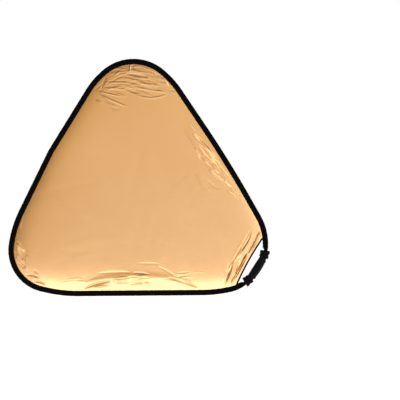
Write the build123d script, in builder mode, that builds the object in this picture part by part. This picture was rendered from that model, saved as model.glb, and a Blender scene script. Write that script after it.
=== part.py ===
from build123d import *
from math import atan, cos, degrees, radians, sin, tan
import os

# Triangular collapsible reflector, 1.2 m across: a flat spring-steel hoop in a sewn black sleeve,
# a gold cloth on the front and a white cloth on the back, and a moulded grip at the lower right
# corner. Millimetres. The panel stands in the XZ plane, +Z up and the gold face towards -Y. The
# origin is the middle of the grip. Sketches on the grip plane have x along the grip, from the
# upper collar to the lower one, and y outwards from the panel. Extruding from the XZ plane or the
# grip plane by a positive amount goes to the front.

# ---- driving dimensions ----
grip_heading = -122.5  # direction of the grip in the XZ plane, degrees from +X
grip_half = 53.0  # half of the bowed stretch between the collars
grip_bow = 4.0  # how far the middle of that stretch bows outwards
bend_at = 73.0  # from the grip's middle to the corner of the hoop inside a collar
bend_turn = 16.5  # turn of the hoop at that corner
bend_radius = 60.0
upper_lead = 99.0  # from that corner to the next corner of the hoop
lower_lead = 65.0
fold_x = -550.0  # vertical fold line, through the top of the hoop
flex_half = 60.0  # half the width of the stretch that bends when the hoop is folded
flex_gap = 0.4  # between that stretch and the side that folds over

band_at = 6.5  # the steel strip's place in the sleeve, outwards from the hoop's centreline
band_wide, band_thick = 6.0, 1.2
band_room = 0.2
sleeve_half = 11.75  # half the sleeve's width, across the plane of the panel
sleeve_nose = 5.5  # radius of its round outer edge
lip_half = 2.0  # half the sleeve's thickness along its stitched inner edge
lip_run = 7.0
cloth = 0.5  # thickness of each cloth
cloth_edge = -2.25  # where the cloths end between the sleeve's lips
slot_end = -1.75

splice_long = 60.0  # steel tube over the two ends of the band
splice_wall = 0.8
splice_gap = 1.0  # between the two ends
splice_room = 0.6  # between the tube and the sleeve
rivet_radius = 1.2
rivet_head_radius, rivet_head = 2.0, 0.5
rivet_at = (-22.0, -10.0, 10.0, 22.0)

cut_upper, cut_lower = (24.0, 133.0), (-94.0, -80.0)  # ends of the panel's cut corner
cut_bow = 5.5  # how far the middle of the cut bows towards the panel
tape_out, tape_in = 2.0, 3.0  # the edge tape's reach on both sides of the cut
tape_half = 1.6

shell_deep = 15.0  # half the grip's thickness
shell_wall = 3.0
shell_round = 11.0
blank_half = 62.0  # half the length of the grip before it is cut to the collars
end_inner, end_outer = 15.5, 14.0  # half widths of the grip at its ends
mid_inner, mid_outer = 16.5, 20.5  # half widths at its middle
cavity_half = 47.0
spigot_across, spigot_deep, spigot_round = 11.5, 10.0, 8.0
spigot_far, spigot_near = 8.0, 24.0  # the spigot's ends, from the hoop's corner
spigot_room = 0.2
pad_half, pad_wide, pad_line = 36.0, 12.0, 1.5
pad_sunk, pad_proud, pad_round = 1.5, 1.0, 0.8
screw_at, screw_line = (-42.0, -14.0, 14.0, 42.0), 0.5
screw_radius, screw_room, head_radius, head_high = 1.5, 0.1, 2.8, 2.0
head_top, screw_tip = -13.3, 9.0  # from the middle of the grip, positive to the front
drive_wide, drive_long, drive_deep = 0.8, 3.2, 1.0
boss_radius = 4.0
clamp_at, clamp_long, clamp_wide, clamp_deep = 27.0, 14.0, 7.0, 20.0

flange_at, flange_long = 1.5, 15.0  # outer tier of a collar, from the hoop's corner outwards
flange_across, flange_deep, flange_round = 22.5, 18.5, 14.0
ring_at, ring_long, ring_turn = 3.5, 14.0, 12.0  # inner tier, from the corner to the grip
ring_across, ring_deep, ring_round = 21.5, 17.5, 13.0
neck_at, neck_long = -8.0, 14.0
neck_across, neck_deep, neck_round = 18.5, 14.5, 11.0
tier_round = 2.5
sleeve_into = 2.5  # where the sleeve ends in a collar, from the hoop's corner
taper_long, taper_deep = 16.0, 6.5  # the sleeve narrows on its inner side before a collar

strap_gap, strap_thick = 0.3, 1.6
strap_half, strap_reach = 50.0, 8.5  # half length, and reach around the grip's outer side
plate_thick, plate_at, plate_half, plate_reach = 1.2, 44.0, 5.0, 6.0
pin_radius, pin_side, pin_foot = 1.1, 2.8, 12.5
pin_head_radius, pin_head = 1.8, 0.7


# ---- reference geometry ----
def step(point, heading, run):
    """The point at a distance from a point of the XZ plane, along a heading in degrees."""
    x, z = point
    return (x + run * cos(radians(heading)), z + run * sin(radians(heading)))


def from_grip(along, out):
    """A point of the grip plane as X and Z."""
    return step(step((0, 0), grip_heading, along), grip_heading + 90, out)


def across(point, heading):
    """The plane across a heading at a point. Its x is to the left of the heading."""
    ahead = (cos(radians(heading)), 0, sin(radians(heading)))
    left = (cos(radians(heading + 90)), 0, sin(radians(heading + 90)))
    return Plane(origin=(point[0], 0, point[1]), x_dir=left, z_dir=ahead)


grip_plane = Plane(
    origin=(0, 0, 0),
    x_dir=(cos(radians(grip_heading)), 0, sin(radians(grip_heading))),
    z_dir=(0, -1, 0),
)
grip_middle = across((0, 0), grip_heading)
grip_radius = (grip_half**2 + grip_bow**2) / (2 * grip_bow)
grip_turn = 2 * degrees(atan(grip_bow / grip_half))  # from the chord to the end's tangent
grip_peak = grip_half * tan(radians(grip_turn))  # corner of the bowed stretch
bend_drop = (bend_at - grip_half) * tan(radians(grip_turn))
upper_bend = from_grip(-bend_at, -bend_drop)
lower_bend = from_grip(bend_at, -bend_drop)
upper_heading = grip_heading + grip_turn + bend_turn + 180
lower_heading = grip_heading - grip_turn - bend_turn
ring_heading = grip_heading + ring_turn
spigot_heading = grip_heading + grip_turn

# Corners of the hoop's centreline, clockwise, and the radius at each. Every round corner of the
# triangle has a wide arc on both sides of a tighter one.
hoop_corners = [
    (-1165, -58),
    (-1124, 192),
    (-955, 538),  # the splice keeps the hoop straight on both sides of this slight corner
    (-755, 862),
    (-575, 1025),
    (-390, 865),
    (-139, 492.5),
    step(upper_bend, upper_heading, upper_lead),
    upper_bend,
    from_grip(0, grip_peak),
    lower_bend,
    step(lower_bend, lower_heading, lower_lead),
    (-195, -114.5),
    (-906, -120),
]
hoop_radii = [185, 520, 150, 355, 205, 438, 5000, 262, 60, grip_radius, 60, 165, 660, 660]
splice_point, splice_heading = hoop_corners[2], 61.1

with BuildLine() as hoop:
    FilletPolyline(*hoop_corners, radius=hoop_radii, close=True)
hoop_path = Plane.XZ.location * hoop.wires()[0]


def region(grow):
    """The inside of the hoop, with its outline moved outwards."""
    with BuildSketch() as inside:
        add(hoop.line)
        make_face()
        offset(amount=grow)
    return inside.sketch


def ring(low, high, half):
    """A flat ring that follows the hoop between two offsets from its centreline."""
    with BuildPart() as flat:
        with BuildSketch(Plane.XZ):
            add(region(high))
            add(region(low), mode=Mode.SUBTRACT)
        extrude(amount=half, both=True)
    return flat.part


def blank(grow):
    """The grip's outer shape before it is cut to the collars, grown on every side."""
    with BuildPart() as grown:
        with BuildSketch(grip_plane):
            with BuildLine():
                ThreePointArc(
                    (-blank_half, end_outer + grow), (0, mid_outer + grow), (blank_half, end_outer + grow)
                )
                Line((blank_half, end_outer + grow), (blank_half, -end_inner - grow))
                ThreePointArc(
                    (blank_half, -end_inner - grow), (0, -mid_inner - grow), (-blank_half, -end_inner - grow)
                )
                Line((-blank_half, -end_inner - grow), (-blank_half, end_outer + grow))
            make_face()
        extrude(amount=shell_deep + grow, both=True)
        fillet(grown.edges().filter_by(GeomType.CIRCLE), shell_round + grow)
    return grown.part


def block(plane, wide, deep, round_radius, long):
    """A block with a rounded-rectangle section, standing on a plane."""
    with BuildPart() as standing:
        with BuildSketch(plane):
            RectangleRounded(wide, deep, round_radius)
        extrude(amount=long)
    return standing.part


def tier(plane, wide, deep, round_radius, long):
    """A collar's tier: a block with soft edges at both ends."""
    with BuildPart() as soft:
        add(block(plane, wide, deep, round_radius, long))
        ends = soft.faces().sort_by(Axis(plane.origin, plane.z_dir))
        fillet(ends[0].edges() + ends[-1].edges(), tier_round)
    return soft.part


def slab(low, high):
    """Everything between two places along X."""
    with BuildPart(Plane(origin=((low + high) / 2, 0, 450))) as between:
        Box(high - low, 200, 1800)
    return between.part


# ---- the steel band and its splice ----
band_space = ring(
    band_at - band_thick / 2 - band_room, band_at + band_thick / 2 + band_room, band_wide / 2 + band_room
)
band_ring = ring(band_at - band_thick / 2, band_at + band_thick / 2, band_wide / 2)
handle_zone = slab(fold_x + flex_half, 100)
flex_zone = slab(fold_x - flex_half + flex_gap, fold_x + flex_half)
far_zone = slab(-1300, fold_x - flex_half)
splice_plane = across(splice_point, splice_heading)
splice_out = splice_plane.x_dir

with BuildPart() as rivet_holes:
    for along in rivet_at:
        foot = step(splice_point, splice_heading, along)
        with BuildSketch(Plane(origin=(foot[0], 0, foot[1]), z_dir=splice_out)):
            Circle(rivet_radius)
        extrude(amount=20)

with BuildPart() as spring_band_handle_side:
    add(band_ring)
    add(handle_zone, mode=Mode.INTERSECT)

with BuildPart() as spring_band_flex_top:
    add(band_ring)
    add(flex_zone, mode=Mode.INTERSECT)
    split(bisect_by=Plane.XY, keep=Keep.TOP)

with BuildPart() as spring_band_flex_bottom:
    add(band_ring)
    add(flex_zone, mode=Mode.INTERSECT)
    split(bisect_by=Plane.XY, keep=Keep.BOTTOM)

with BuildPart() as spring_band_far_upper:
    add(band_ring)
    add(far_zone, mode=Mode.INTERSECT)
    add(rivet_holes.part, mode=Mode.SUBTRACT)
    split(bisect_by=splice_plane.offset(splice_gap / 2), keep=Keep.TOP)

with BuildPart() as spring_band_far_lower:
    add(band_ring)
    add(far_zone, mode=Mode.INTERSECT)
    add(rivet_holes.part, mode=Mode.SUBTRACT)
    split(bisect_by=splice_plane.offset(-splice_gap / 2), keep=Keep.BOTTOM)

tube_low = band_at - band_thick / 2 - band_room - splice_wall
tube_high = band_at + band_thick / 2 + band_room + splice_wall
tube_half = band_wide / 2 + band_room + splice_wall
splice_box = splice_plane.offset(-splice_long / 2)
with BuildPart() as splice_sleeve:
    add(ring(tube_low, tube_high, tube_half))
    add(block(splice_box, 60, 30, 1, splice_long), mode=Mode.INTERSECT)
    add(band_space, mode=Mode.SUBTRACT)
    add(rivet_holes.part, mode=Mode.SUBTRACT)

with BuildPart() as splice_rivets:
    for along in rivet_at:
        foot = step(splice_point, splice_heading, along)
        with BuildSketch(Plane(origin=(foot[0], 0, foot[1]), z_dir=splice_out)):
            Circle(rivet_head_radius)
        extrude(amount=20)
    add(ring(tube_low, tube_high, tube_half), mode=Mode.SUBTRACT)
    add(rivet_holes.part)
    add(ring(tube_low - rivet_head, tube_high + rivet_head, tube_half), mode=Mode.INTERSECT)

# ---- the sewn sleeve ----
nose_at = sleeve_half - sleeve_nose
sleeve_plane = Plane(
    origin=hoop_path @ 0, x_dir=(hoop_path % 0).cross(Vector(0, 1, 0)), z_dir=hoop_path % 0
)
with BuildPart() as sleeve_solid:
    with BuildSketch(sleeve_plane):
        with Locations((nose_at, 0)):
            Circle(sleeve_nose)
        with BuildLine():
            Polyline(
                (nose_at, sleeve_nose),
                (lip_run - sleeve_half, lip_half),
                (-sleeve_half, lip_half),
                (-sleeve_half, -lip_half),
                (lip_run - sleeve_half, -lip_half),
                (nose_at, -sleeve_nose),
                (nose_at, sleeve_nose),
            )
        make_face()
    sweep(path=hoop_path)

with BuildPart() as handle_room:
    with BuildSketch(Plane.XZ):
        mouth_upper = step(upper_bend, upper_heading, sleeve_into)
        mouth_lower = step(lower_bend, lower_heading, sleeve_into)
        with BuildLine():
            Polyline(
                step(mouth_upper, upper_heading + 90, 60),
                step(mouth_upper, upper_heading - 90, 60),
                step(mouth_lower, lower_heading + 90, 60),
                step(mouth_lower, lower_heading - 90, 60),
                step(mouth_upper, upper_heading + 90, 60),
            )
        make_face()
    extrude(amount=40, both=True)

with BuildPart() as narrowing:
    with BuildSketch(Plane.XZ):
        taper_start = flange_at + flange_long + taper_long
        for corner, heading, side in (
            (upper_bend, upper_heading, 90),
            (lower_bend, lower_heading, -90),
        ):
            lip = step(step(corner, heading, sleeve_into), heading + side, sleeve_half)
            shoulder = step(lip, heading, flange_long)
            far = step(step(corner, heading, taper_start), heading + side, sleeve_half + 4)
            outside = step(lip, heading + side, 10)
            with BuildLine():
                Polyline(
                    step(lip, heading + side, -taper_deep),
                    step(shoulder, heading + side, -taper_deep),
                    far,
                    outside,
                    step(lip, heading + side, -taper_deep),
                )
            make_face()
    extrude(amount=20, both=True)

with BuildPart() as sleeve_outside:
    add(sleeve_solid.part)
    add(handle_room.part, mode=Mode.SUBTRACT)
    add(narrowing.part, mode=Mode.SUBTRACT)

with BuildPart() as splice_pocket:
    add(ring(tube_low - splice_room, tube_high + splice_room, tube_half + band_room))
    add(block(splice_box.offset(-1), 60, 30, 1, splice_long + 2), mode=Mode.INTERSECT)

with BuildPart() as sleeve:
    add(sleeve_outside.part)
    add(ring(-sleeve_half - 5, slot_end, cloth), mode=Mode.SUBTRACT)
    add(band_space, mode=Mode.SUBTRACT)
    add(splice_pocket.part, mode=Mode.SUBTRACT)

with BuildPart() as rim_binding_handle_upper:
    add(sleeve.part)
    add(handle_zone, mode=Mode.INTERSECT)
    split(bisect_by=Plane.XY, keep=Keep.TOP)

with BuildPart() as rim_binding_handle_lower:
    add(sleeve.part)
    add(handle_zone, mode=Mode.INTERSECT)
    split(bisect_by=Plane.XY, keep=Keep.BOTTOM)

with BuildPart() as rim_binding_flex_top:
    add(sleeve.part)
    add(flex_zone, mode=Mode.INTERSECT)
    split(bisect_by=Plane.XY, keep=Keep.TOP)

with BuildPart() as rim_binding_flex_bottom:
    add(sleeve.part)
    add(flex_zone, mode=Mode.INTERSECT)
    split(bisect_by=Plane.XY, keep=Keep.BOTTOM)

with BuildPart() as rim_binding_far_side:
    add(sleeve.part)
    add(far_zone, mode=Mode.INTERSECT)

# ---- the two cloths and the tape along their cut corner ----
cut_run = ((cut_upper[0] - cut_lower[0]) ** 2 + (cut_upper[1] - cut_lower[1]) ** 2) ** 0.5
cut_radius = ((cut_run / 2) ** 2 + cut_bow**2) / (2 * cut_bow)
cut_heading = degrees(atan((cut_upper[1] - cut_lower[1]) / (cut_upper[0] - cut_lower[0])))
cut_middle = ((cut_upper[0] + cut_lower[0]) / 2, (cut_upper[1] + cut_lower[1]) / 2)
cut_centre = step(cut_middle, cut_heading - 90, cut_radius - cut_bow)


def cloths(low, high):
    """The cloths' shape between two depths, positive to the front."""
    with BuildPart() as spread:
        with BuildSketch(Plane.XZ.offset(low)):
            add(region(cloth_edge))
            with Locations(cut_centre):
                Circle(cut_radius, mode=Mode.SUBTRACT)
        extrude(amount=high - low)
    return spread.part


gold_cloth = cloths(0, cloth)
white_cloth = cloths(-cloth, 0)

with BuildPart() as gold_face_handle_side:
    add(gold_cloth)
    add(handle_zone, mode=Mode.INTERSECT)

with BuildPart() as gold_face_flex:
    add(gold_cloth)
    add(flex_zone, mode=Mode.INTERSECT)

with BuildPart() as gold_face_far_side:
    add(gold_cloth)
    add(far_zone, mode=Mode.INTERSECT)

with BuildPart() as white_face_handle_side:
    add(white_cloth)
    add(handle_zone, mode=Mode.INTERSECT)

with BuildPart() as white_face_flex:
    add(white_cloth)
    add(flex_zone, mode=Mode.INTERSECT)

with BuildPart() as white_face_far_side:
    add(white_cloth)
    add(far_zone, mode=Mode.INTERSECT)

with BuildPart() as corner_edge_tape:
    with BuildSketch(Plane.XZ):
        add(region(-sleeve_half - 0.2))
        with Locations(cut_centre):
            Circle(cut_radius + tape_in, mode=Mode.INTERSECT)
            Circle(cut_radius - tape_out, mode=Mode.SUBTRACT)
    extrude(amount=tape_half, both=True)
    add(gold_cloth, mode=Mode.SUBTRACT)
    add(white_cloth, mode=Mode.SUBTRACT)

# ---- the collars ----
ring_plane = across(step(upper_bend, ring_heading, ring_at), ring_heading)
flange_plane = across(step(upper_bend, upper_heading, flange_at), upper_heading)
neck_plane = across(step(upper_bend, ring_heading, neck_at), ring_heading)
with BuildPart() as collar_solid:
    add(tier(flange_plane, 2 * flange_across, 2 * flange_deep, flange_round, flange_long))
    add(tier(ring_plane, 2 * ring_across, 2 * ring_deep, ring_round, ring_long))
    add(block(neck_plane, 2 * neck_across, 2 * neck_deep, neck_round, neck_long))


def spigot(room):
    """The oval end of the grip that sits in the upper collar, grown by a clearance."""
    with BuildPart() as plug:
        start = step(upper_bend, spigot_heading, spigot_far - room)
        wide = 2 * (spigot_across + room)
        deep = 2 * (spigot_deep + room)
        add(block(across(start, spigot_heading), wide, deep, spigot_round, spigot_near - spigot_far))
    return plug.part


with BuildPart() as upper_collar:
    add(collar_solid.part)
    add(spigot(spigot_room), mode=Mode.SUBTRACT)
    add(sleeve_outside.part, mode=Mode.SUBTRACT)
    add(band_space, mode=Mode.SUBTRACT)

with BuildPart() as lower_collar:
    add(mirror(collar_solid.part, about=grip_middle))
    add(mirror(spigot(spigot_room), about=grip_middle), mode=Mode.SUBTRACT)
    add(sleeve_outside.part, mode=Mode.SUBTRACT)
    add(band_space, mode=Mode.SUBTRACT)

# ---- the grip ----
outer_arc = (blank_half**2 + (mid_outer - end_outer) ** 2) / (2 * (mid_outer - end_outer))
arc_centre = mid_outer - outer_arc  # of the grip's outer outline, on the grip plane's y


def outer_side(reach, half):
    """The outer side of the grip, to a depth below its outer outline, for half a length."""
    with BuildPart() as side:
        with BuildSketch(grip_plane):
            with Locations((0, 40)):
                Rectangle(2 * half, 80)
            with Locations((0, arc_centre)):
                Circle(outer_arc - reach, mode=Mode.SUBTRACT)
        extrude(amount=30, both=True)
    return side.part


def posts(places, radius, low, high):
    """Round posts along Y on the grip plane, between two depths."""
    with BuildPart() as round_posts:
        with BuildSketch(grip_plane.offset(low)):
            with Locations(*places):
                Circle(radius)
        extrude(amount=high - low)
    return round_posts.part


def face_bar(low, high):
    """The grip pads' rounded bar, between two depths."""
    with BuildPart() as bar:
        with BuildSketch(grip_plane.offset(low)):
            with Locations((0, pad_line)):
                SlotOverall(2 * pad_half, pad_wide)
        extrude(amount=high - low)
    return bar.part


def pins(radius, low, high):
    """The strap pins' round bars, between two radii from the centre of the outer outline."""
    tilt = degrees(atan(plate_at / outer_arc))
    centre = from_grip(0, arc_centre)
    with BuildPart() as bars:
        for heading in (grip_heading + 90 + tilt, grip_heading + 90 - tilt):
            with BuildSketch(across(step(centre, heading, low), heading)):
                with Locations((0, pin_side), (0, -pin_side)):
                    Circle(radius)
            extrude(amount=high - low)
    return bars.part


screw_places = [(at, screw_line) for at in screw_at]
head_low = head_top + head_high
pin_low = outer_arc + pin_foot - mid_outer
pin_high = outer_arc + strap_gap + strap_thick + plate_thick

with BuildPart() as cavity:
    add(blank(-shell_wall))
    cavity_plane = across(from_grip(-cavity_half, 0), grip_heading)
    add(block(cavity_plane, 80, 60, 1, 2 * cavity_half), mode=Mode.INTERSECT)

with BuildPart() as bosses:
    add(posts(screw_places, boss_radius, -shell_deep, shell_deep))
    add(cavity.part, mode=Mode.INTERSECT)

with BuildPart() as grip_solid:
    add(blank(0))
    add(collar_solid.part, mode=Mode.SUBTRACT)
    add(mirror(collar_solid.part, about=grip_middle), mode=Mode.SUBTRACT)
    add(spigot(0))
    add(mirror(spigot(0), about=grip_middle))
    add(cavity.part, mode=Mode.SUBTRACT)
    add(bosses.part)
    add(band_space, mode=Mode.SUBTRACT)
    add(posts(screw_places, head_radius + screw_room, -shell_deep - 1, head_low), mode=Mode.SUBTRACT)
    add(posts(screw_places, screw_radius + screw_room, head_low, screw_tip + screw_room), mode=Mode.SUBTRACT)
    add(pins(pin_radius, pin_low, pin_high), mode=Mode.SUBTRACT)
    add(face_bar(shell_deep - pad_sunk, shell_deep + 1), mode=Mode.SUBTRACT)
    add(face_bar(-shell_deep - 1, pad_sunk - shell_deep), mode=Mode.SUBTRACT)

with BuildPart() as handle_front_shell:
    add(grip_solid.part)
    split(bisect_by=Plane.XZ, keep=Keep.TOP)

with BuildPart() as handle_rear_shell:
    add(grip_solid.part)
    split(bisect_by=Plane.XZ, keep=Keep.BOTTOM)

with BuildPart() as grip_pad_front:
    add(face_bar(shell_deep - pad_sunk, shell_deep + pad_proud))
    fillet(grip_pad_front.faces().sort_by(Axis.Y)[0].edges(), pad_round)

with BuildPart() as grip_pad_rear:
    add(face_bar(-shell_deep - pad_proud, pad_sunk - shell_deep))
    fillet(grip_pad_rear.faces().sort_by(Axis.Y)[-1].edges(), pad_round)

with BuildPart() as handle_screws:
    add(posts(screw_places, head_radius, head_top, head_low))
    add(posts(screw_places, screw_radius, head_low, screw_tip))
    with BuildSketch(grip_plane.offset(head_top)):
        with Locations(*screw_places):
            Rectangle(drive_long, drive_wide)
            Rectangle(drive_wide, drive_long)
    extrude(amount=drive_deep, mode=Mode.SUBTRACT)

with BuildPart() as band_clamps:
    clamp_out = grip_bow - clamp_at**2 / (2 * grip_radius) + band_at
    with BuildSketch(grip_plane):
        with Locations((-clamp_at, clamp_out), (clamp_at, clamp_out)):
            Rectangle(clamp_long, clamp_wide)
    extrude(amount=shell_deep, both=True)
    add(cavity.part, mode=Mode.INTERSECT)
    add(band_space, mode=Mode.SUBTRACT)

# ---- the hand strap ----
with BuildPart() as hand_strap:
    add(blank(strap_gap + strap_thick))
    add(blank(strap_gap), mode=Mode.SUBTRACT)
    add(outer_side(strap_reach, strap_half), mode=Mode.INTERSECT)
    add(pins(pin_radius, pin_low, pin_high), mode=Mode.SUBTRACT)

with BuildPart() as strap_plates:
    add(blank(strap_gap + strap_thick + plate_thick))
    add(blank(strap_gap + strap_thick), mode=Mode.SUBTRACT)
    add(outer_side(plate_reach, plate_at + plate_half), mode=Mode.INTERSECT)
    add(outer_side(30, plate_at - plate_half), mode=Mode.SUBTRACT)
    add(pins(pin_radius, pin_low, pin_high), mode=Mode.SUBTRACT)

with BuildPart() as strap_plate_upper:
    add(strap_plates.part)
    split(bisect_by=Plane.XY, keep=Keep.TOP)

with BuildPart() as strap_plate_lower:
    add(strap_plates.part)
    split(bisect_by=Plane.XY, keep=Keep.BOTTOM)

with BuildPart() as strap_pins:
    add(pins(pin_radius, pin_low, pin_high))
    add(pins(pin_head_radius, pin_high, pin_high + pin_head))

# ---- every piece to its own file ----
pieces = {
    "spring_band_handle_side": spring_band_handle_side,
    "spring_band_flex_top": spring_band_flex_top,
    "spring_band_flex_bottom": spring_band_flex_bottom,
    "spring_band_far_upper": spring_band_far_upper,
    "spring_band_far_lower": spring_band_far_lower,
    "splice_sleeve": splice_sleeve,
    "splice_rivets": splice_rivets,
    "rim_binding_handle_upper": rim_binding_handle_upper,
    "rim_binding_handle_lower": rim_binding_handle_lower,
    "rim_binding_flex_top": rim_binding_flex_top,
    "rim_binding_flex_bottom": rim_binding_flex_bottom,
    "rim_binding_far_side": rim_binding_far_side,
    "gold_face_handle_side": gold_face_handle_side,
    "gold_face_flex": gold_face_flex,
    "gold_face_far_side": gold_face_far_side,
    "white_face_handle_side": white_face_handle_side,
    "white_face_flex": white_face_flex,
    "white_face_far_side": white_face_far_side,
    "corner_edge_tape": corner_edge_tape,
    "upper_collar": upper_collar,
    "lower_collar": lower_collar,
    "handle_front_shell": handle_front_shell,
    "handle_rear_shell": handle_rear_shell,
    "grip_pad_front": grip_pad_front,
    "grip_pad_rear": grip_pad_rear,
    "handle_screws": handle_screws,
    "band_clamps": band_clamps,
    "hand_strap": hand_strap,
    "strap_plate_upper": strap_plate_upper,
    "strap_plate_lower": strap_plate_lower,
    "strap_pins": strap_pins,
}
os.makedirs("parts", exist_ok=True)
for label, piece in pieces.items():
    piece.part.label = label
    export_step(piece.part, f"parts/{label}.step")
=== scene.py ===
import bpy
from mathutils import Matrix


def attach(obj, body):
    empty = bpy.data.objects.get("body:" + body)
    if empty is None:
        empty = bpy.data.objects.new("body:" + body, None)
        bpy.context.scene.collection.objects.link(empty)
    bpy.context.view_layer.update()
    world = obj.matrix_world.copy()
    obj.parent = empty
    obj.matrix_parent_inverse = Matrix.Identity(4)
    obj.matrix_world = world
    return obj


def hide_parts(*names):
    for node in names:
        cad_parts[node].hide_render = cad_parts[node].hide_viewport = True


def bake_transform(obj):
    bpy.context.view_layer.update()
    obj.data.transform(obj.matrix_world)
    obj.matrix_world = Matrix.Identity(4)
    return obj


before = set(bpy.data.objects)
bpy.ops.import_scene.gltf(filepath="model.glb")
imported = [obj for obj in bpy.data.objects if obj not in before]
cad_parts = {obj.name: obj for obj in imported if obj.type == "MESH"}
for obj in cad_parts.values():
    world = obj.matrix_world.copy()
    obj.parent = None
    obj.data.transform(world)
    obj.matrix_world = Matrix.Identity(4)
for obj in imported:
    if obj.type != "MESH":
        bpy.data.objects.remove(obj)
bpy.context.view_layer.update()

import math

import bpy
import numpy as np
from mathutils import Vector

# A rounded-triangle pop-up reflector in the CAD row's frame, in metres: the panel stands in the
# XZ plane, the gold face looks towards -Y and the origin is the middle of the grip.

# ---------------------------------------------------------------- camera
VIEW_CENTRE = Vector((-0.2633, 0.0, 0.3142))
VIEW_WIDTH = 1.8554  # metres across the frame at the panel
CAMERA_FAR = 4.0
SENSOR = 36.0
camera_data = bpy.data.cameras.new("camera")
camera_data.sensor_width = SENSOR
camera_data.lens = SENSOR * CAMERA_FAR / VIEW_WIDTH
camera = bpy.data.objects.new("camera", camera_data)
camera.location = VIEW_CENTRE - Vector((0, CAMERA_FAR, 0))
camera.rotation_euler = (math.radians(90), 0, 0)
bpy.context.scene.collection.objects.link(camera)
bpy.context.scene.camera = camera

# ---------------------------------------------------------------- dimensions
# These are the CAD's, apart from the sleeve's half width: its cloth puffs 1.25 mm past the CAD's.
GRIP_HEADING = -122.5
GRIP_HALF, GRIP_BOW = 0.053, 0.004
BEND_AT, BEND_TURN = 0.073, 16.5
UPPER_LEAD, LOWER_LEAD = 0.099, 0.065
SLEEVE_HALF, SLEEVE_NOSE = 0.0130, 0.0055
CLOTH_EDGE, BAND_AT = -0.0055, 0.0065  # cloths' edge and band, outwards from the hoop's line
COLLAR_MOUTH = 0.006  # from a bend beside the grip to the mouth of the collar there


def step(point, heading, run):
    """The point at a distance from a point (x, z), along a heading in degrees."""
    a = math.radians(heading)
    return (point[0] + run * math.cos(a), point[1] + run * math.sin(a))


def from_grip(along, out):
    """A point given along the grip and outwards from it, as (x, z)."""
    return step(step((0, 0), GRIP_HEADING, along), GRIP_HEADING + 90, out)


grip_turn = 2 * math.degrees(math.atan(GRIP_BOW / GRIP_HALF))
grip_radius = (GRIP_HALF**2 + GRIP_BOW**2) / (2 * GRIP_BOW)
slope = math.tan(math.radians(grip_turn))
upper_bend = from_grip(-BEND_AT, -(BEND_AT - GRIP_HALF) * slope)
lower_bend = from_grip(BEND_AT, -(BEND_AT - GRIP_HALF) * slope)
upper_heading = GRIP_HEADING + grip_turn + BEND_TURN + 180
lower_heading = GRIP_HEADING - grip_turn - BEND_TURN

hoop_corners = [
    (-1.165, -0.058),
    (-1.124, 0.192),
    (-0.955, 0.538),
    (-0.755, 0.862),
    (-0.575, 1.025),
    (-0.390, 0.865),
    (-0.139, 0.4925),
    step(upper_bend, upper_heading, UPPER_LEAD),
    upper_bend,
    from_grip(0, GRIP_HALF * slope),
    lower_bend,
    step(lower_bend, lower_heading, LOWER_LEAD),
    (-0.195, -0.1145),
    (-0.906, -0.120),
]
hoop_radii = [
    0.185, 0.52, 0.15, 0.355, 0.205, 0.438, 5.0,
    0.262, 0.06, grip_radius, 0.06, 0.165, 0.66, 0.66,
]


def rounded_loop(corners, radii, spacing):
    """Points along a closed line of straight runs with a round arc at each corner."""
    corners = np.array(corners)
    n = len(corners)
    points = []
    for i in range(n):
        here, before, after = corners[i], corners[i - 1], corners[(i + 1) % n]
        d_in = (here - before) / np.linalg.norm(here - before)
        d_out = (after - here) / np.linalg.norm(after - here)
        turn = math.atan2(d_in[0] * d_out[1] - d_in[1] * d_out[0], float(d_in @ d_out))
        reach = radii[i] * math.tan(abs(turn) / 2)
        side = np.array([-d_in[1], d_in[0]]) * math.copysign(1, turn)
        centre = here - d_in * reach + side * radii[i]
        count = max(3, int(abs(turn) * radii[i] / spacing))
        first = here - d_in * reach - centre
        for k in range(count + 1):
            a = turn * k / count
            c, s = math.cos(a), math.sin(a)
            turned = [c * first[0] - s * first[1], s * first[0] + c * first[1]]
            points.append(centre + np.array(turned))
    return np.array(points)


def resample(points, count):
    """The closed line through the points, divided evenly, and its length."""
    points = np.vstack([points, points[:1]])
    runs = np.linalg.norm(np.diff(points, axis=0), axis=1)
    s = np.concatenate([[0], np.cumsum(runs)])
    at = np.linspace(0, s[-1], count, endpoint=False)
    return np.column_stack([np.interp(at, s, points[:, 0]), np.interp(at, s, points[:, 1])]), s[-1]


def outward(points):
    """Unit normals to the left of a closed line that runs clockwise, so they point outwards."""
    tangent = np.roll(points, -1, 0) - np.roll(points, 1, 0)
    tangent /= np.linalg.norm(tangent, axis=1)[:, None]
    return np.column_stack([-tangent[:, 1], tangent[:, 0]])


def eased(t):
    """A share from 0 to 1 that starts and stops gently."""
    return t * t * (3 - 2 * t)


HOOP_COUNT, ARC_SPACING = 2400, 0.002
hoop, hoop_length = resample(rounded_loop(hoop_corners, hoop_radii, ARC_SPACING), HOOP_COUNT)
hoop_out = outward(hoop)
SPACE = hoop_length / HOOP_COUNT


def nearest(point):
    """Index of the hoop's sample nearest to a point."""
    return int(np.argmin(np.linalg.norm(hoop - np.array(point), axis=1)))


# ---------------------------------------------------------------- the panel's cut corner
# Its edge is a slightly hollow arc, because the cloths are pulled tight between its two ends.
CUT_UPPER, CUT_LOWER, CUT_BOW = (0.024, 0.133), (-0.094, -0.080), 0.0055
cut_run = math.dist(CUT_UPPER, CUT_LOWER)
cut_radius = ((cut_run / 2) ** 2 + CUT_BOW**2) / (2 * CUT_BOW)
cut_heading = math.degrees(math.atan2(CUT_UPPER[1] - CUT_LOWER[1], CUT_UPPER[0] - CUT_LOWER[0]))
cut_middle = ((CUT_UPPER[0] + CUT_LOWER[0]) / 2, (CUT_UPPER[1] + CUT_LOWER[1]) / 2)
cut_centre = np.array(step(cut_middle, cut_heading - 90, cut_radius - CUT_BOW))


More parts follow.
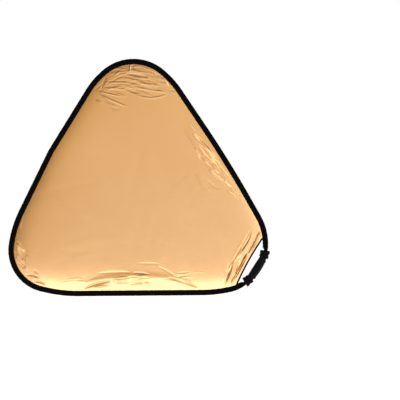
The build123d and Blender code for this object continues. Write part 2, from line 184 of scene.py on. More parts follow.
# ---------------------------------------------------------------- helpers
def new_mesh(name, verts, faces, uvs=None, smooth=True):
    """An object from points and faces, with an optional UV for each point."""
    mesh = bpy.data.meshes.new(name)
    mesh.from_pydata([tuple(v) for v in verts], [], [tuple(int(i) for i in f) for f in faces])
    mesh.update()
    if uvs is not None:
        layer = mesh.uv_layers.new(name="UVMap")
        index = np.zeros(len(mesh.loops), np.int64)
        mesh.loops.foreach_get("vertex_index", index)
        layer.data.foreach_set("uv", np.asarray(uvs, float)[index].ravel())
    if smooth:
        mesh.polygons.foreach_set("use_smooth", [True] * len(mesh.polygons))
    obj = bpy.data.objects.new(name, mesh)
    bpy.context.scene.collection.objects.link(obj)
    return obj


def skin(name, rows, uvs, mat):
    """A closed skin over a run of rings of points, with a flat cap at each end."""
    rows = np.asarray(rows, float)
    n, m = rows.shape[:2]
    faces = []
    for k in range(n - 1):
        a, b = k * m, (k + 1) * m
        for j in range(m):
            q = (j + 1) % m
            faces.append((a + j, b + j, b + q, a + q))
    faces.append(tuple(range(m)))
    faces.append(tuple((n - 1) * m + j for j in reversed(range(m))))
    obj = new_mesh(name, rows.reshape(-1, 3), faces, np.asarray(uvs, float).reshape(-1, 2))
    obj.data.materials.append(mat)
    return obj


def girths(line):
    """How far along a line of points each of them lies. Its points start with (u, v)."""
    runs = [math.dist(a[:2], b[:2]) for a, b in zip(line, line[1:])]
    return np.concatenate([[0], np.cumsum(runs)])


def fold_over(obj):
    """Bakes the piece's placement into its mesh."""
    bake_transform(obj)


# ---------------------------------------------------------------- materials
THREADS = 420.0  # scale of the cloths' weave
PAINTED_HIGHLIGHT_FADE = 0.003  # how far the painted highlight band fades out beside its edge
MIX_A, MIX_B, MIX_RESULT = 6, 7, 2  # a Mix node's colour sockets: its other kinds share the names


def material(name, base, rough, metal=0.0, specular=0.5, sheen=0.0):
    """A material with its fixed values on the shader, its node tree and the shader."""
    mat = bpy.data.materials.new(name)
    mat.use_nodes = True
    tree = mat.node_tree
    shader = tree.nodes["Principled BSDF"]
    shader.inputs["Base Color"].default_value = (*base, 1)
    shader.inputs["Roughness"].default_value = rough
    shader.inputs["Metallic"].default_value = metal
    shader.inputs["Specular IOR Level"].default_value = specular
    shader.inputs["Sheen Weight"].default_value = sheen
    return mat, tree, shader


def node(tree, kind, **values):
    """A node with its inputs and properties set by name."""
    made = tree.nodes.new(kind)
    for key, value in values.items():
        if key in made.inputs:
            made.inputs[key].default_value = value
        else:
            setattr(made, key, value)
    return made


def ramp(tree, source, low, high, at):
    """Two colours or greys across a value. at says where each of them is reached."""
    made = node(tree, "ShaderNodeValToRGB")
    made.color_ramp.elements[0].position = at[0]
    made.color_ramp.elements[1].position = at[1]
    made.color_ramp.elements[0].color = (*low, 1)
    made.color_ramp.elements[1].color = (*high, 1)
    tree.links.new(source, made.inputs["Fac"])
    return made.outputs["Color"]


def bump(tree, shader, height, strength, distance, under=None):
    """Adds a bump, over an earlier one if given."""
    made = node(tree, "ShaderNodeBump")
    made.inputs["Strength"].default_value = strength
    made.inputs["Distance"].default_value = distance
    tree.links.new(height, made.inputs["Height"])
    if under is not None:
        tree.links.new(under, made.inputs["Normal"])
    tree.links.new(made.outputs["Normal"], shader.inputs["Normal"])
    return made.outputs["Normal"]


def on_uv(tree):
    """The UV map, which is in metres on every piece that this script makes."""
    return node(tree, "ShaderNodeUVMap", uv_map="UVMap").outputs["UV"]


def noise(tree, vector, scale, detail=3.0, rough=0.5):
    """Cloudy noise, from 0 to 1."""
    made = node(tree, "ShaderNodeTexNoise", Scale=scale, Detail=detail, Roughness=rough)
    tree.links.new(vector, made.inputs["Vector"])
    return made.outputs["Fac"]


def wave(tree, vector, scale, direction, distortion=0.0):
    """Evenly spaced bands across a direction, from 0 to 1."""
    made = node(tree, "ShaderNodeTexWave", Scale=scale, Distortion=distortion)
    made.bands_direction = direction
    tree.links.new(vector, made.inputs["Vector"])
    return made.outputs["Fac"]


def combine(tree, a, b, operation):
    """A math node over two sockets or numbers."""
    made = node(tree, "ShaderNodeMath", operation=operation)
    for source, index in ((a, 0), (b, 1)):
        if isinstance(source, (int, float)):
            made.inputs[index].default_value = source
        else:
            tree.links.new(source, made.inputs[index])
    return made.outputs[0]


def along_grip(tree):
    """The piece's own coordinates, turned about Y so that X runs along the grip."""
    where = node(tree, "ShaderNodeTexCoord").outputs["Object"]
    mapping = node(tree, "ShaderNodeMapping")
    mapping.inputs["Rotation"].default_value = (0, math.radians(-GRIP_HEADING), 0)
    tree.links.new(where, mapping.inputs["Vector"])
    return mapping.outputs["Vector"]


def cloth_weave(tree, vector):
    """The crossed threads of both cloths."""
    across = wave(tree, vector, THREADS, "X")
    return combine(tree, across, wave(tree, vector, THREADS, "Y"), "MAXIMUM")


def gold_material():
    """Metallised gold cloth: a soft mirror over a fine crossed weave, with small crinkles."""
    mat, tree, shader = material("gold_foil_cloth", (0.8, 0.47, 0.225), 0.22, metal=1.0)
    plain = on_uv(tree)
    cloud = noise(tree, plain, 3.0)
    colour = ramp(tree, cloud, (0.80, 0.458, 0.218), (0.82, 0.478, 0.232), (0.35, 0.65))
    tree.links.new(colour, shader.inputs["Base Color"])
    rough = ramp(tree, noise(tree, plain, 14.0, 4.0, 0.6), (0.19,) * 3, (0.25,) * 3, (0.3, 0.7))
    tree.links.new(rough, shader.inputs["Roughness"])
    crinkle = noise(tree, plain, 30.0, 6.0, 0.6)
    first = bump(tree, shader, crinkle, 0.06, 0.004)
    second = bump(tree, shader, cloth_weave(tree, plain), 0.06, 0.0003, first)
    bump(tree, shader, noise(tree, plain, 900.0, 2.0, 0.6), 0.04, 0.0005, second)
    return mat


def white_material():
    """Plain white cloth with a faint sheen and the same weave."""
    mat, tree, shader = material("white_cloth", (0.9, 0.9, 0.89), 0.62, specular=0.35, sheen=0.15)
    plain = on_uv(tree)
    cloud = noise(tree, plain, 3.5)
    colour = ramp(tree, cloud, (0.80, 0.795, 0.795), (0.88, 0.875, 0.875), (0.3, 0.7))
    tree.links.new(colour, shader.inputs["Base Color"])
    first = bump(tree, shader, cloth_weave(tree, plain), 0.15, 0.0004)
    bump(tree, shader, noise(tree, plain, 30.0, 6.0, 0.6), 0.12, 0.004, first)
    return mat


def black_weave(name, base, specular, scale=300.0, sheen=0.02, rough=0.85, painted_highlight=None):
    """Black woven cloth or tape. Its last argument is the middle, half width and grey of a painted
    highlight along it.
    """
    mat, tree, shader = material(name, (base,) * 3, rough, specular=specular, sheen=sheen)
    plain = on_uv(tree)
    along = wave(tree, plain, scale, "X", 0.4)
    crossways = wave(tree, plain, scale, "Y", 0.4)
    weave = combine(tree, along, crossways, "MULTIPLY")
    low, high = (base * 0.5,) * 3, (base * 1.8, base * 1.75, base * 1.75)
    cloudy = combine(tree, weave, noise(tree, plain, 60.0), "MULTIPLY")
    colour = ramp(tree, cloudy, low, high, (0.0, 0.5))
    # a lighter grey band across the UV's Y at the given middle: a painted highlight
    if painted_highlight is not None:
        middle, half, grey = painted_highlight
        split = node(tree, "ShaderNodeSeparateXYZ")
        tree.links.new(plain, split.inputs["Vector"])
        aside = combine(tree, split.outputs["Y"], middle, "SUBTRACT")
        aside = combine(tree, aside, 0.0, "ABSOLUTE")
        share = ramp(tree, aside, (1,) * 3, (0,) * 3, (half, half + PAINTED_HIGHLIGHT_FADE))
        both = node(tree, "ShaderNodeMix", data_type="RGBA")
        tree.links.new(share, both.inputs["Factor"])
        tree.links.new(colour, both.inputs[MIX_A])
        both.inputs[MIX_B].default_value = (grey, grey, grey, 1)
        colour = both.outputs[MIX_RESULT]
    tree.links.new(colour, shader.inputs["Base Color"])
    first = bump(tree, shader, weave, 0.5, 0.0005)
    bump(tree, shader, noise(tree, plain, 90.0), 0.25, 0.0015, first)
    return mat


def moulded(name, base, rough, grain, strength, specular):
    """Moulded plastic or rubber with a fine spark-eroded grain and slightly polished patches."""
    mat, tree, shader = material(name, (base,) * 3, rough, specular=specular)
    where = along_grip(tree)
    cloud = noise(tree, where, 35.0, 5.0)
    colour = ramp(tree, cloud, (base * 0.7,) * 3, (base * 1.5,) * 3, (0.3, 0.7))
    tree.links.new(colour, shader.inputs["Base Color"])
    worn = noise(tree, where, 45.0, 4.0)
    grey = ramp(tree, worn, (rough - 0.1,) * 3, (rough + 0.08,) * 3, (0.35, 0.65))
    tree.links.new(grey, shader.inputs["Roughness"])
    first = bump(tree, shader, noise(tree, where, grain, 2.0, 0.6), strength, 0.0004)
    bump(tree, shader, worn, 0.08, 0.002, first)
    return mat


def steel(name, base, rough):
    """Cold-rolled steel with a fine, uneven scratched grain."""
    mat, tree, shader = material(name, base, rough, metal=1.0)
    scratch = noise(tree, along_grip(tree), 400.0)
    grey = ramp(tree, scratch, (rough - 0.08,) * 3, (rough + 0.1,) * 3, (0.3, 0.7))
    tree.links.new(grey, shader.inputs["Roughness"])
    bump(tree, shader, scratch, 0.05, 0.0003)
    return mat


GOLD = gold_material()
WHITE = white_material()
SLEEVE = black_weave("black_sleeve_cloth", 0.0018, 0.05, sheen=0.01)
THREAD = black_weave("black_thread", 0.005, 0.15, scale=900.0)
# The strap's elastic is black; the grey band round its outer side is a painted highlight.
ELASTIC = black_weave(
    "grey_elastic", 0.006, 0.12, scale=380.0, sheen=0.03, rough=0.6,
    painted_highlight=(0.0188, 0.0085, 0.09),
)
RUBBER = moulded("black_rubber", 0.0012, 0.6, grain=900.0, strength=0.3, specular=0.07)
PLASTIC = moulded("black_plastic", 0.0014, 0.42, grain=1300.0, strength=0.2, specular=0.09)
BAND_STEEL = steel("spring_steel", (0.3, 0.31, 0.33), 0.3)
DARK_STEEL = steel("dark_steel", (0.08, 0.08, 0.085), 0.35)

# ---------------------------------------------------------------- wrinkles
PANEL_MIDDLE = np.array([-0.555, 0.30])
END_BLUNT, END_FADE, END_WIDE = 2.2, 0.8, 0.45  # how a fold sinks and narrows towards its ends
SIDE_FALL, LEAN = 1.6, 0.35  # how steeply it falls off to its sides, and more so on its left
FAMILY_SEED, SOFT_FOLDS = 41, 16


def fold(points, start, end, wide, high, bend):
    """Height of one fold at the points: a ridge along a bowed line that dies out at both ends."""
    start, end = np.array(start), np.array(end)
    run = end - start
    long = np.linalg.norm(run)
    ahead = run / long
    left = np.array([-ahead[1], ahead[0]])
    rel = points - start
    t = (rel @ ahead) / long
    near = (t > 0) & (t < 1)
    out = np.zeros(len(points))
    t = t[near]
    off = rel[near] @ left - bend * 4 * t * (1 - t)
    taper = (1 - np.abs(2 * t - 1) ** END_BLUNT) ** END_FADE
    w = wide * (END_WIDE + (1 - END_WIDE) * taper) + 1e-6
    q = off / w
    skew = np.where(q > 0, q / (1 - LEAN), q / (1 + LEAN))
    out[near] = high * taper * np.exp(-skew * skew * SIDE_FALL)
    return out


def folds_in(points, rng, count, centre, spread, heading, turn, long, wide, high, bend):
    """A family of folds around a place. spread is (along, across) the heading."""
    total = np.zeros(len(points))
    for _ in range(count):
        along = rng.normal(0, spread[0])
        side = rng.uniform(-spread[1], spread[1])
        middle = step(step(centre, heading, along), heading + 90, side)
        a = heading + rng.normal(0, turn)
        half = 0.5 * long * rng.uniform(0.5, 1.35)
        w = wide * rng.uniform(0.6, 1.6)
        h = high * rng.uniform(0.35, 1.2) * rng.choice([1, 1, -1])
        b = bend * rng.uniform(0.4, 1.5)
        total += fold(points, step(middle, a, -half), step(middle, a, half), w, h, b)
    return total


# Creases that can be told apart: ends, how far the middle bows to the left of the run, width and
# height. A positive height is a ridge on the gold side. Metres, in the XZ plane.
CREASES = (
    # the top corner
    (-0.587, 0.945, -0.588, 0.905, 0.000, 0.0029, 0.0017),
    (-0.577, 0.945, -0.575, 0.915, 0.001, 0.0029, -0.0013),
    (-0.650, 0.905, -0.515, 0.905, 0.008, 0.0040, 0.0010),
    (-0.605, 0.900, -0.505, 0.885, 0.002, 0.0066, -0.0030),
    (-0.550, 0.880, -0.495, 0.874, 0.000, 0.0036, 0.0013),
    (-0.705, 0.860, -0.580, 0.865, -0.004, 0.0040, 0.0013),
    (-0.695, 0.875, -0.655, 0.900, 0.002, 0.0040, -0.0015),
    (-0.715, 0.836, -0.590, 0.828, -0.003, 0.0043, 0.0014),
    (-0.574, 0.862, -0.435, 0.844, -0.003, 0.0043, 0.0014),
    (-0.574, 0.841, -0.420, 0.817, -0.004, 0.0047, 0.0021),
    (-0.595, 0.820, -0.540, 0.810, 0.000, 0.0040, -0.0015),
    (-0.560, 0.802, -0.412, 0.806, -0.016, 0.0043, 0.0016),
    (-0.490, 0.825, -0.412, 0.812, -0.003, 0.0036, 0.0012),
    (-0.743, 0.821, -0.605, 0.792, -0.003, 0.0043, 0.0019),
    (-0.728, 0.806, -0.595, 0.746, -0.004, 0.0050, 0.0024),
    (-0.655, 0.810, -0.605, 0.795, 0.000, 0.0036, 0.0013),
    (-0.745, 0.779, -0.716, 0.764, 0.000, 0.0040, 0.0015),
    (-0.675, 0.738, -0.628, 0.717, 0.000, 0.0050, 0.0008),
    (-0.700, 0.770, -0.640, 0.745, -0.002, 0.0040, 0.0012),
    (-0.501, 0.914, -0.435, 0.882, 0.002, 0.0043, -0.0017),
    (-0.481, 0.883, -0.416, 0.868, 0.001, 0.0036, 0.0015),
    (-0.418, 0.866, -0.402, 0.838, 0.001, 0.0032, -0.0016),
    (-0.660, 0.905, -0.700, 0.868, 0.002, 0.0036, 0.0013),
    # down the right edge
    (-0.262, 0.602, -0.202, 0.527, -0.003, 0.0060, 0.0026),
    (-0.296, 0.625, -0.229, 0.548, -0.004, 0.0098, 0.0015),
    (-0.264, 0.555, -0.195, 0.482, -0.004, 0.0082, 0.0019),
    (-0.218, 0.536, -0.156, 0.480, -0.002, 0.0054, -0.0026),
    (-0.260, 0.513, -0.175, 0.440, -0.004, 0.0076, 0.0020),
    (-0.225, 0.458, -0.141, 0.398, -0.004, 0.0060, 0.0026),
    (-0.150, 0.408, -0.112, 0.372, -0.001, 0.0049, 0.0026),
    (-0.279, 0.440, -0.214, 0.352, -0.006, 0.0098, 0.0014),
    (-0.126, 0.377, -0.064, 0.321, -0.002, 0.0054, 0.0020),
    (-0.187, 0.494, -0.125, 0.417, -0.002, 0.0060, 0.0019),
    (-0.142, 0.360, -0.078, 0.325, -0.003, 0.0076, 0.0015),
    (-0.242, 0.588, -0.160, 0.492, -0.004, 0.0060, -0.0022),
    (-0.282, 0.545, -0.205, 0.455, -0.005, 0.0064, -0.0019),
    (-0.236, 0.500, -0.150, 0.415, -0.004, 0.0060, -0.0021),
    (-0.246, 0.425, -0.170, 0.362, -0.004, 0.0064, -0.0015),
    # along the cut corner
    (0.016, 0.170, -0.038, 0.060, 0.004, 0.0053, 0.0047),
    (0.006, 0.165, -0.060, 0.040, 0.004, 0.0049, -0.0034),
    (-0.017, 0.163, -0.088, 0.043, 0.004, 0.0066, 0.0031),
    (-0.036, 0.085, -0.090, -0.027, 0.004, 0.0049, 0.0047),
    (-0.050, 0.075, -0.100, -0.030, 0.004, 0.0045, -0.0037),
    (-0.055, 0.056, -0.123, -0.085, 0.005, 0.0057, 0.0050),
    (-0.078, 0.040, -0.112, -0.070, 0.003, 0.0041, -0.0031),
    (-0.104, 0.035, -0.139, -0.080, 0.004, 0.0057, 0.0037),
    (-0.128, 0.020, -0.152, -0.090, 0.003, 0.0066, -0.0020),
    (-0.030, 0.147, -0.072, 0.081, 0.003, 0.0045, -0.0027),
    # along the bottom edge
    (-0.805, -0.096, -0.668, -0.059, 0.006, 0.0072, -0.0031),
    (-0.755, -0.092, -0.680, -0.082, 0.003, 0.0043, 0.0016),
    (-0.672, -0.056, -0.583, -0.044, 0.002, 0.0051, -0.0016),
    (-0.740, -0.026, -0.576, -0.021, 0.004, 0.0064, -0.0010),
    (-0.660, -0.048, -0.590, -0.041, 0.001, 0.0038, 0.0012),
    (-0.576, -0.021, -0.490, -0.030, 0.002, 0.0051, -0.0015),
    (-0.553, -0.040, -0.499, -0.033, 0.002, 0.0047, 0.0011),
    (-0.415, -0.044, -0.270, -0.092, 0.006, 0.0068, -0.0030),
    (-0.455, 0.006, -0.376, -0.040, 0.003, 0.0051, -0.0014),
    (-0.545, 0.021, -0.453, 0.020, 0.001, 0.0051, -0.0007),
    (-0.376, -0.050, -0.306, -0.078, 0.002, 0.0043, 0.0016),
    (-0.800, -0.070, -0.300, -0.070, 0.030, 0.0300, 0.0030),
    # the lower left corner and the left edge
    (-1.070, -0.031, -1.010, -0.045, 0.005, 0.0051, -0.0029),
    (-1.036, -0.062, -0.980, -0.078, 0.006, 0.0047, -0.0029),
    (-1.114, 0.116, -1.076, 0.078, 0.000, 0.0055, 0.0019),
    (-1.106, 0.091, -1.083, 0.037, 0.001, 0.0051, -0.0019),
    (-1.118, 0.132, -1.091, 0.104, 0.000, 0.0043, 0.0014),
    (-0.980, 0.606, -0.944, 0.664, 0.002, 0.0043, -0.0019),
    (-1.064, 0.442, -1.030, 0.484, 0.003, 0.0047, -0.0022),
    (-1.083, 0.415, -1.048, 0.455, 0.003, 0.0038, 0.0014),
    (-1.020, 0.556, -1.028, 0.470, 0.002, 0.0043, 0.0010),
    (-1.010, 0.550, -1.018, 0.440, 0.002, 0.0051, 0.0006),
    (-1.076, 0.420, -1.106, 0.375, 0.000, 0.0051, 0.0011),
    (-1.134, 0.262, -1.110, 0.205, -0.002, 0.0047, -0.0020),
    (-1.120, 0.268, -1.100, 0.232, 0.000, 0.0043, 0.0015),
)

# Families of small creases: count, centre, spread along and across, heading, turn, length, width,
# height and bow.
FAMILIES = (
    (44, (-0.585, 0.885), (0.045, 0.050), 3, 9, 0.11, 0.0032, 0.0008, 0.006),
    (26, (-0.60, 0.84), (0.06, 0.030), -10, 9, 0.13, 0.0036, 0.0008, 0.006),
    (12, (-0.66, 0.86), (0.03, 0.03), 30, 18, 0.06, 0.0032, 0.0008, 0.004),
    (20, (-0.47, 0.87), (0.04, 0.03), -25, 16, 0.06, 0.0030, 0.0009, 0.004),
    (22, (-0.24, 0.53), (0.08, 0.032), -52, 6, 0.13, 0.0058, 0.0009, 0.004),
    (14, (-0.15, 0.40), (0.06, 0.028), -50, 6, 0.10, 0.0058, 0.0009, 0.004),
    (16, (-0.98, 0.58), (0.09, 0.018), 60, 9, 0.07, 0.0042, 0.0009, 0.004),
    (16, (-1.04, 0.44), (0.08, 0.022), 62, 12, 0.06, 0.0042, 0.0009, 0.004),
    (14, (-1.10, 0.22), (0.08, 0.022), 76, 12, 0.06, 0.0042, 0.0009, 0.004),
    (14, (-1.07, 0.02), (0.07, 0.026), 120, 14, 0.06, 0.0042, 0.0009, 0.004),
    (26, (-0.56, -0.055), (0.13, 0.024), 2, 6, 0.10, 0.0034, 0.0007, 0.005),
    (22, (-0.075, 0.035), (0.055, 0.045), -117, 2, 0.15, 0.0044, 0.0009, 0.001),
)


def wrinkles(points):
    """How far the cloths stand forward of their plane, in metres, at (x, z) points."""
    rng = np.random.default_rng(FAMILY_SEED)
    y = np.zeros(len(points))
    for x0, z0, x1, z1, bow, wide, high in CREASES:
        y += fold(points, (x0, z0), (x1, z1), wide, high, bow)
    for family in FAMILIES:
        y += folds_in(points, rng, *family)
    for _ in range(SOFT_FOLDS):
        centre = (rng.uniform(-0.95, -0.2), rng.uniform(-0.02, 0.6))
        heading = rng.uniform(0, 180)
        half = rng.uniform(0.08, 0.22)
        start, end = step(centre, heading, -half), step(centre, heading, half)
        high = rng.choice([-1, 1]) * rng.uniform(0.0002, 0.0004)
        y += fold(points, start, end, rng.uniform(0.02, 0.05), high, 0.02)
    return y


# ---------------------------------------------------------------- the two cloths
AROUND = 1500
CROWN_HIGH, CROWN_REACH = 0.0070, 0.048  # the cloths rise forward, most of it near the rim
DENSE, SPACING, GROWTH = 0.17, 0.0021, 1.07  # closely spaced rings near the rim, wider inside
MIDDLE_AT, LAST_RING = 0.5, 0.49  # the middle and the ring round it, on the scale of SPACING
COARSE = 20  # the inner rings measure their way to the edge against every 20th point of it
FLAT_HEM, SETTLE = 0.004, 0.012  # the edge stays flat, and the wrinkles grow over this distance
CLOTH_THICK, GOLD_FRONT, WHITE_FRONT = 0.00042, -0.00055, 0.00010


def ring_shares():
    """Each ring of the cloths' mesh, as its share of the way out from the middle."""
    places, gap = [0.0], SPACING
    while places[-1] < LAST_RING:
        places.append(places[-1] + gap)
        if places[-1] > DENSE:
            gap *= GROWTH
    return 1 - np.array(places[:-1]) / MIDDLE_AT


def cloth_outline():
    """The cloths' outline, evenly divided, with the corner beside the grip cut off."""
    edge = hoop + hoop_out * CLOTH_EDGE
    inside = np.linalg.norm(edge - cut_centre, axis=1) < cut_radius
    rel = PANEL_MIDDLE - cut_centre
    c = rel @ rel - cut_radius**2
    for i in np.flatnonzero(inside):
        direction = edge[i] - PANEL_MIDDLE
        a = direction @ direction
        b = 2 * rel @ direction
        t = (-b - math.sqrt(b * b - 4 * a * c)) / (2 * a)
        edge[i] = PANEL_MIDDLE + direction * t
    return resample(edge, AROUND)[0]


def cloth_net():
    """The cloths' flat mesh: its (x, z) points, the height of the wrinkles there, and the rings."""
    edge = cloth_outline()
    shares = ring_shares()
    flat = (PANEL_MIDDLE + shares[:, None, None] * (edge - PANEL_MIDDLE)[None]).reshape(-1, 2)
    flat = np.vstack([flat, PANEL_MIDDLE])
    inside = np.full(len(flat), np.inf)
    near_rim = AROUND * int(DENSE / SPACING)
    for spots, part in ((edge, slice(0, near_rim)), (edge[::COARSE], slice(near_rim, None))):
        x, z, least = flat[part, 0], flat[part, 1], inside[part]
        for spot in spots:
            np.minimum(least, (x - spot[0]) ** 2 + (z - spot[1]) ** 2, out=least)
    inside = np.clip(np.sqrt(inside) - FLAT_HEM, 0, None)
    settle = eased(np.clip(inside / SETTLE, 0, 1))
    crown = CROWN_HIGH * (1 - np.exp(-inside / CROWN_REACH))
    return flat, -wrinkles(flat) * settle - crown, len(shares)


FLAT, HEIGHT, RINGS = cloth_net()


def cloth_piece(name, front, mat):
    """One cloth as a thin closed sheet. front is the y of its front face where it lies flat."""
    count = len(FLAT)
    depths = (front, front + CLOTH_THICK)
    layers = [np.column_stack([FLAT[:, 0], HEIGHT + depth, FLAT[:, 1]]) for depth in depths]
    faces = []
    for k in range(RINGS - 1):
        for i in range(AROUND):
            j = (i + 1) % AROUND
            a, b = k * AROUND + i, k * AROUND + j
            c, d = (k + 1) * AROUND + j, (k + 1) * AROUND + i
            faces.append((a, b, c, d))
            faces.append((d + count, c + count, b + count, a + count))
    last = (RINGS - 1) * AROUND
    for i in range(AROUND):
        j = (i + 1) % AROUND
        faces.append((last + i, last + j, count - 1))
        faces.append((last + j + count, last + i + count, 2 * count - 1))
        faces.append((j, i, i + count, j + count))
    obj = new_mesh(name, np.vstack(layers), faces, np.vstack([FLAT, FLAT]))
    obj.data.materials.append(mat)
    return obj


gold = cloth_piece("gold_cloth", GOLD_FRONT, GOLD)
white = cloth_piece("white_cloth", WHITE_FRONT, WHITE)


# ---------------------------------------------------------------- the sewn sleeve
INNER_SEAM, OUTER_SEAM = (-0.0088, 0.0019), (-0.0056, 0.0020)  # (u, v), in shallow grooves
NOSE_TURN, NOSE_STEPS = 100, 8
NARROW_FROM, NARROW_OVER = 0.012, 0.018  # the sleeve narrows over this run before a collar
LIP_TUCK, NOSE_TUCK, LIP_SWELL = 0.55, 0.10, 0.15  # how much its sides narrow and its lips swell
SLEEVE_SEED, SLEEVE_WAVES = 5, 9
RIPPLE_SWELL, RIPPLE_NOSE, RIPPLE_LIP = 180, 0.6, -0.8  # a ripple's share in each direction


def sleeve_section():
    """(u, v) points round the sleeve: u outwards from the hoop's centreline, v to the front."""
    nose, lip = SLEEVE_HALF - SLEEVE_NOSE, -SLEEVE_HALF
    half = [(lip, 0.0011), (lip + 0.0004, 0.0019), (lip + 0.0014, 0.0022)]
    half += [(-0.0095, 0.00205), INNER_SEAM, (-0.0081, 0.0021), (-0.0070, 0.0023)]
    half += [(-0.0063, 0.0022), OUTER_SEAM, (-0.0049, 0.0023)]
    half += [(-0.0030, 0.0029), (0.0, 0.0038), (0.0030, 0.0048)]
    for k in range(NOSE_STEPS + 1):
        a = math.radians(NOSE_TURN - NOSE_TURN * k / NOSE_STEPS)
        half.append((nose + SLEEVE_NOSE * math.cos(a), SLEEVE_NOSE * math.sin(a)))
    return half + [(u, -v) for u, v in reversed(half[:-1])]


def rim_range():
    """Hoop samples from the lower collar's mouth, clockwise, to the upper collar's mouth."""
    first = nearest(step(lower_bend, lower_heading, COLLAR_MOUTH))
    last = nearest(step(upper_bend, upper_heading, COLLAR_MOUTH))
    return [(first + i) % HOOP_COUNT for i in range((last - first) % HOOP_COUNT + 1)]


SAMPLES = rim_range()
RIM_LONG = (len(SAMPLES) - 1) * SPACE


def narrowing(along):
    """0 in the open, 1 at a collar's mouth: how far the sleeve has narrowed."""
    reach = min(along, RIM_LONG - along)
    return eased(1 - min(max((reach - NARROW_FROM) / NARROW_OVER, 0), 1))


def ripples():
    """Small uneven puckers along the sleeve."""
    rng = np.random.default_rng(SLEEVE_SEED)
    along = np.arange(len(SAMPLES)) * SPACE
    total = np.zeros(len(SAMPLES))
    for _ in range(SLEEVE_WAVES):
        high = rng.uniform(0.00006, 0.00016)
        pitch, phase = rng.uniform(90, 420), rng.uniform(0, 6.28)
        total += high * np.sin(pitch * along + phase)
    return total


RIPPLE = ripples()
TIGHT = [narrowing(k * SPACE) for k in range(len(SAMPLES))]


def on_rim(k, u, v):
    """A point of the sleeve's surface at sample k: u outwards and v to the front."""
    u = u * (1 - (LIP_TUCK if u < 0 else NOSE_TUCK) * TIGHT[k])
    v = v * (1 + RIPPLE[k] * RIPPLE_SWELL) * (1 + LIP_SWELL * TIGHT[k] * (u < 0))
    out = u + RIPPLE[k] * (RIPPLE_NOSE if u > 0 else RIPPLE_LIP)
    x, z = hoop[SAMPLES[k]] + hoop_out[SAMPLES[k]] * out
    return np.array((x, -v, z))


def sleeve_piece():
    """The sleeve, which narrows where it goes into the two collars."""
    section = sleeve_section()
    girth = girths(section)
    rows = [[on_rim(k, u, v) for u, v in section] for k in range(len(SAMPLES))]
    uvs = [[(k * SPACE, g) for g in girth] for k in range(len(SAMPLES))]
    return skin("rim_sleeve", rows, uvs, SLEEVE)


STITCH_RADIUS, STITCH_SIDES = 0.00026, 6
STITCH_ARCH = ((0, -0.9, 0.5), (0.18, 0.5, 1), (0.5, 0.9, 1.1), (0.82, 0.5, 1), (1, -0.9, 0.5))
STITCH_LONG, STITCH_STEP = 2, 3  # a stitch and its pitch along the sleeve, in hoop samples
STITCH_FIRST, STITCH_LEFT = 4, 6  # samples without a stitch at the sleeve's two ends
THREAD_U, THREAD_V = 0.0007, 0.0003  # how far the thread's UV map goes on from ring to ring


def stitch(start, end, lift):
    """One stitch: a short arched thread whose ends sink into the cloth, as rings of points."""
    ahead = (end - start) / np.linalg.norm(end - start)
    side = np.cross(ahead, lift)
    rows = []
    for t, high, size in STITCH_ARCH:
        middle = start + (end - start) * t + lift * high * STITCH_RADIUS
        ring = []
        for k in range(STITCH_SIDES):
            a = math.radians(360 / STITCH_SIDES * k)
            ring.append(middle + (side * math.cos(a) + lift * math.sin(a)) * STITCH_RADIUS * size)
        rows.append(ring)
    return rows


def stitching(name, places):
    """Every stitch of a row of places (start, end, lift) as one piece."""
    sides = STITCH_SIDES
    verts, faces, uvs = [], [], []
    for start, end, lift in places:
        base = len(verts)
        rows = stitch(start, end, lift)
        for r, ring in enumerate(rows):
            verts += ring
            uvs += [(r * THREAD_U, k * THREAD_V) for k in range(sides)]
        for r in range(len(rows) - 1):
            for k in range(sides):
                a, b = base + sides * r + k, base + sides * r + (k + 1) % sides
                faces.append((a, a + sides, b + sides, b))
        faces.append(tuple(base + k for k in range(sides)))
        faces.append(tuple(base + sides * (len(rows) - 1) + k for k in reversed(range(sides))))
    obj = new_mesh(name, verts, faces, uvs)
    obj.data.materials.append(THREAD)
    return obj


def sleeve_stitching():
    """Two rows of lock stitches along the sleeve's inner edge, on both faces."""
    places = []
    for u, v in (INNER_SEAM, OUTER_SEAM):
        for face in (1, -1):
            lift = np.array((0.0, -face, 0.0))
            for k in range(STITCH_FIRST, len(SAMPLES) - STITCH_LEFT, STITCH_STEP):
                start, end = on_rim(k, u, v * face), on_rim(k + STITCH_LONG, u, v * face)
                places.append((start, end, lift))
    return stitching("sleeve_stitching", places)


sleeve = sleeve_piece()
sleeve_thread = sleeve_stitching()

# ---------------------------------------------------------------- the steel band
BAND_WIDE, BAND_THICK, BAND_CORNER = 0.0060, 0.0012, 0.0002
SPLICE_POINT, SPLICE_GAP = (-0.955, 0.538), 0.001


def band_piece():
    """The steel strip as one open loop, its two ends a millimetre apart in the splice tube."""
    half, deep, corner = BAND_THICK / 2, BAND_WIDE / 2, BAND_CORNER
    section = [(half, deep - corner), (half - corner, deep)]
    section += [(corner - half, deep), (-half, deep - corner)]
    section += [(-u, -v) for u, v in section]
    first = nearest(SPLICE_POINT)
    shifts = {0: SPLICE_GAP / 2, HOOP_COUNT: -SPLICE_GAP / 2}
    rows, uvs = [], []
    for k in range(HOOP_COUNT + 1):
        i = (first + k) % HOOP_COUNT
        shift = shifts.get(k, 0.0)
        ahead = np.array((hoop_out[i][1], -hoop_out[i][0]))
        row = []
        for u, v in section:
            x, z = hoop[i] + hoop_out[i] * (BAND_AT + u) + ahead * shift
            row.append((x, -v, z))
        rows.append(row)
        uvs.append([(k * SPACE, 0.001 * j) for j in range(len(section))])
    return skin("steel_band", rows, uvs, BAND_STEEL)


band = band_piece()

